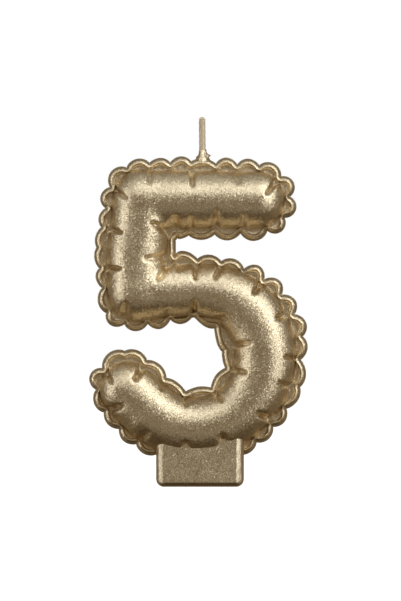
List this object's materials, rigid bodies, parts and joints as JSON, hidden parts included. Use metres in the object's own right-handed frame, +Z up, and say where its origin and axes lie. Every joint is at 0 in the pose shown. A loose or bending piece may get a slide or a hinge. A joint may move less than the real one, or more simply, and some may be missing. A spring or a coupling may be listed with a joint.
{
  "type": "number birthday candle",
  "caption": "Gold wax birthday candle: a puffed numeral 5 with a scalloped seam flange, a flat foot block for the cake and a short cotton wick in the top bar.",
  "frame": {"origin": "centre of the foot block's underside, on the mould's parting plane", "axes": "+X to the numeral's right as it is read, -Y towards its reader, +Z up along the wick"},
  "size_m": [0.0496, 0.0142, 0.0842],
  "materials": {
    "gold_wax": "wax with a satin champagne-gold metallic lacquer, fine sparkle grain",
    "gold_wax_matte": "wax with a thinner, sparkly matte gold lacquer",
    "wick_wax": "thin waxed gold-beige coat, satin",
    "wick_cotton": "twisted primed cotton"
  },
  "bodies": {
    "root": {"numeral_body": "gold_wax", "foot_block": "gold_wax_matte", "wick_seal_bead": "gold_wax", "wick_wax_coat": "wick_wax", "wick_yarn_1": "wick_cotton", "wick_yarn_2": "wick_cotton", "wick_yarn_3": "wick_cotton"}
  },
  "joints": []
}
